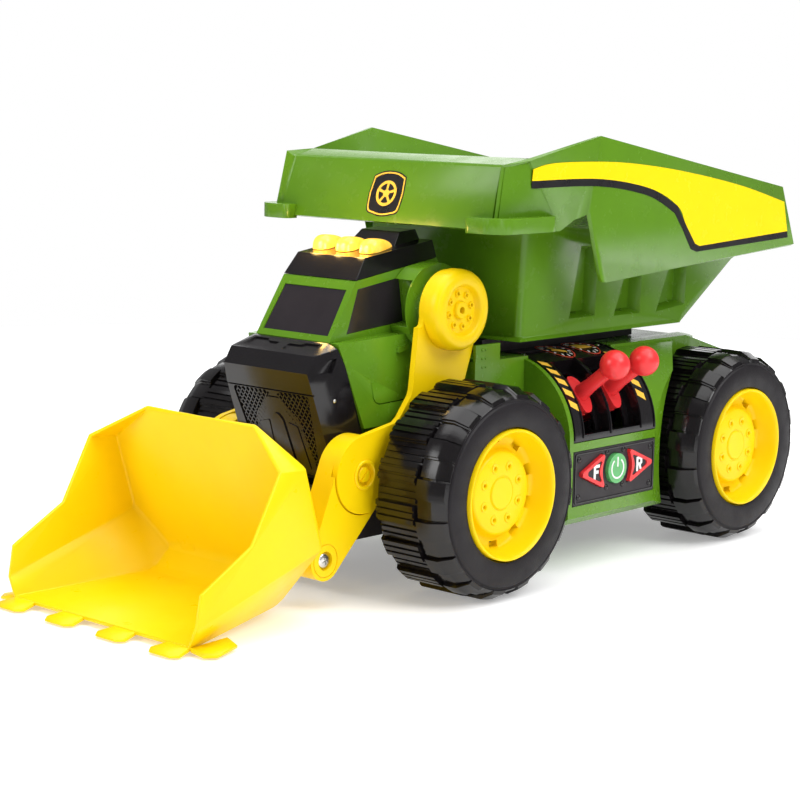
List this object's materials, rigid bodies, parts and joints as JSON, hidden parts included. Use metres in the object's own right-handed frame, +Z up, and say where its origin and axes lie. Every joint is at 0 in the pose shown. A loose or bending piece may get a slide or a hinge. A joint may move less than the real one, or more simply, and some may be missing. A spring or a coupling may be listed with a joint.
{
  "type": "toy dump truck with front loader",
  "caption": "Toy dump truck with a front loader bucket on a jointed boom, a tipping bed, free-rolling wheels, two levers and push buttons on the side.",
  "frame": {"origin": "middle of the footprint of the whole toy, on the ground under the tyres", "axes": "+Z up, -Y forward (bucket end), +X the truck's left side, which carries the levers and buttons"},
  "size_m": [0.232, 0.5405, 0.2642],
  "materials": {
    "green_plastic": "glossy injection-moulded plastic, mid green",
    "yellow_plastic": "glossy injection-moulded plastic, warm yellow",
    "black_gloss": "high-gloss black plastic",
    "charcoal_plastic": "satin charcoal plastic",
    "tyre_black": "black blow-moulded toy tyre: glossy outer blocks, satin tread and sidewall",
    "red_plastic": "glossy red plastic",
    "button_green": "translucent green push button",
    "tinted_glass": "smoked polycarbonate window insert",
    "amber_lens": "lit amber lamp lens",
    "steel": "plated steel pin, screw or can",
    "white_nylon": "nylon gear",
    "board_green": "circuit board laminate",
    "battery_wrap": "dry cell wrapper"
  },
  "bodies": {
    "chassis": {"chassis_pan": "charcoal_plastic", "hull_shell": "green_plastic", "deck_plate": "charcoal_plastic", "cab_shell": "green_plastic", "cab_roof": "black_gloss", "windshield": "tinted_glass", "window_left": "tinted_glass", "window_right": "tinted_glass", "nose_grille": "black_gloss", "beacon_lens_left": "amber_lens", "beacon_lens_centre": "amber_lens", "beacon_lens_right": "amber_lens", "lever_console": "black_gloss", "button_plate": "charcoal_plastic", "lever_shaft": "steel", "lever_bracket": "charcoal_plastic", "battery_box": "charcoal_plastic", "battery_1": "battery_wrap", "battery_2": "battery_wrap", "battery_3": "battery_wrap", "battery_door": "charcoal_plastic", "gearbox_housing": "charcoal_plastic", "drive_motor": "steel", "idler_shaft": "steel", "circuit_board": "board_green", "speaker": "steel", "front_axle": "steel", "bed_hinge_pin": "steel"},
    "loader_boom": {"loader_arm_left": "yellow_plastic", "loader_arm_right": "yellow_plastic", "hub_cap_left": "yellow_plastic", "hub_cap_right": "yellow_plastic", "shoulder_shaft": "steel", "elbow_pin_left": "yellow_plastic", "elbow_pin_right": "yellow_plastic"},
    "loader_forearm": {"loader_link_left": "yellow_plastic", "loader_link_right": "yellow_plastic"},
    "loader_bucket": {"bucket": "yellow_plastic", "bucket_screw_left": "steel", "bucket_screw_right": "steel"},
    "tipping_bed": {"dump_bed": "green_plastic"},
    "boom_lever_body": {"boom_lever": "red_plastic"},
    "bed_lever_body": {"bed_lever": "red_plastic"},
    "forward_button_body": {"forward_button": "red_plastic"},
    "power_button_body": {"power_button": "button_green"},
    "reverse_button_body": {"reverse_button": "red_plastic"},
    "front_wheel_left": {"front_tyre_left": "tyre_black", "front_rim_left": "yellow_plastic"},
    "front_wheel_right": {"front_tyre_right": "tyre_black", "front_rim_right": "yellow_plastic"},
    "rear_wheels": {"rear_axle": "steel", "axle_gear": "white_nylon", "rear_tyre_left": "tyre_black", "rear_rim_left": "yellow_plastic", "rear_tyre_right": "tyre_black", "rear_rim_right": "yellow_plastic"},
    "idler": {"idler_gear": "white_nylon"},
    "motor_rotor": {"motor_pinion": "white_nylon"}
  },
  "joints": [
    {"name": "boom_lift", "type": "hinge", "parent": "chassis", "child": "loader_boom", "pos_m": [0, -0.03996, 0.163], "axis": [-1, 0, 0], "range_deg": [0, 110]},
    {"name": "elbow_reach", "type": "hinge", "parent": "loader_boom", "child": "loader_forearm", "pos_m": [0, -0.11046, 0.0735], "axis": [-1, 0, 0], "range_deg": [0, 40]},
    {"name": "bucket_dump", "type": "hinge", "parent": "loader_forearm", "child": "loader_bucket", "pos_m": [0, -0.14026, 0.0282], "axis": [1, 0, 0], "range_deg": [-8, 40]},
    {"name": "bed_tilt", "type": "hinge", "parent": "chassis", "child": "tipping_bed", "pos_m": [0, 0.18304, 0.1345], "axis": [-1, 0, 0], "range_deg": [0, 45]},
    {"name": "boom_lever_pull", "type": "hinge", "parent": "chassis", "child": "boom_lever_body", "pos_m": [0.047, 0.05604, 0.08], "axis": [0, 1, 0], "range_deg": [0, 25]},
    {"name": "bed_lever_pull", "type": "hinge", "parent": "chassis", "child": "bed_lever_body", "pos_m": [0.047, 0.08604, 0.08], "axis": [0, 1, 0], "range_deg": [0, 25]},
    {"name": "forward_press", "type": "slide", "parent": "chassis", "child": "forward_button_body", "axis": [-1, 0, 0], "range_m": [0, 0.002], "stiffness_N_per_m": 300},
    {"name": "power_press", "type": "slide", "parent": "chassis", "child": "power_button_body", "axis": [-1, 0, 0], "range_m": [0, 0.002], "stiffness_N_per_m": 300},
    {"name": "reverse_press", "type": "slide", "parent": "chassis", "child": "reverse_button_body", "axis": [-1, 0, 0], "range_m": [0, 0.002], "stiffness_N_per_m": 300},
    {"name": "front_wheel_spin_left", "type": "hinge", "parent": "chassis", "child": "front_wheel_left", "pos_m": [0, -0.04896, 0.062], "axis": [1, 0, 0], "continuous": true},
    {"name": "front_wheel_spin_right", "type": "hinge", "parent": "chassis", "child": "front_wheel_right", "pos_m": [0, -0.04896, 0.062], "axis": [1, 0, 0], "continuous": true},
    {"name": "rear_axle_spin", "type": "hinge", "parent": "chassis", "child": "rear_wheels", "pos_m": [0, 0.19104, 0.062], "axis": [1, 0, 0], "continuous": true},
    {"name": "idler_spin", "type": "hinge", "parent": "chassis", "child": "idler", "pos_m": [0, 0.17104, 0.062], "axis": [1, 0, 0], "continuous": true},
    {"name": "motor_spin", "type": "hinge", "parent": "chassis", "child": "motor_rotor", "pos_m": [0, 0.15504, 0.062], "axis": [1, 0, 0], "continuous": true}
  ],
  "couplings": [
    {"joint": "boom_lever_pull", "follows": "boom_lift", "ratio": 0.2272},
    {"joint": "bed_lever_pull", "follows": "bed_tilt", "ratio": 0.5555},
    {"joint": "idler_spin", "follows": "rear_axle_spin", "ratio": -3},
    {"joint": "motor_spin", "follows": "rear_axle_spin", "ratio": 9}
  ]
}
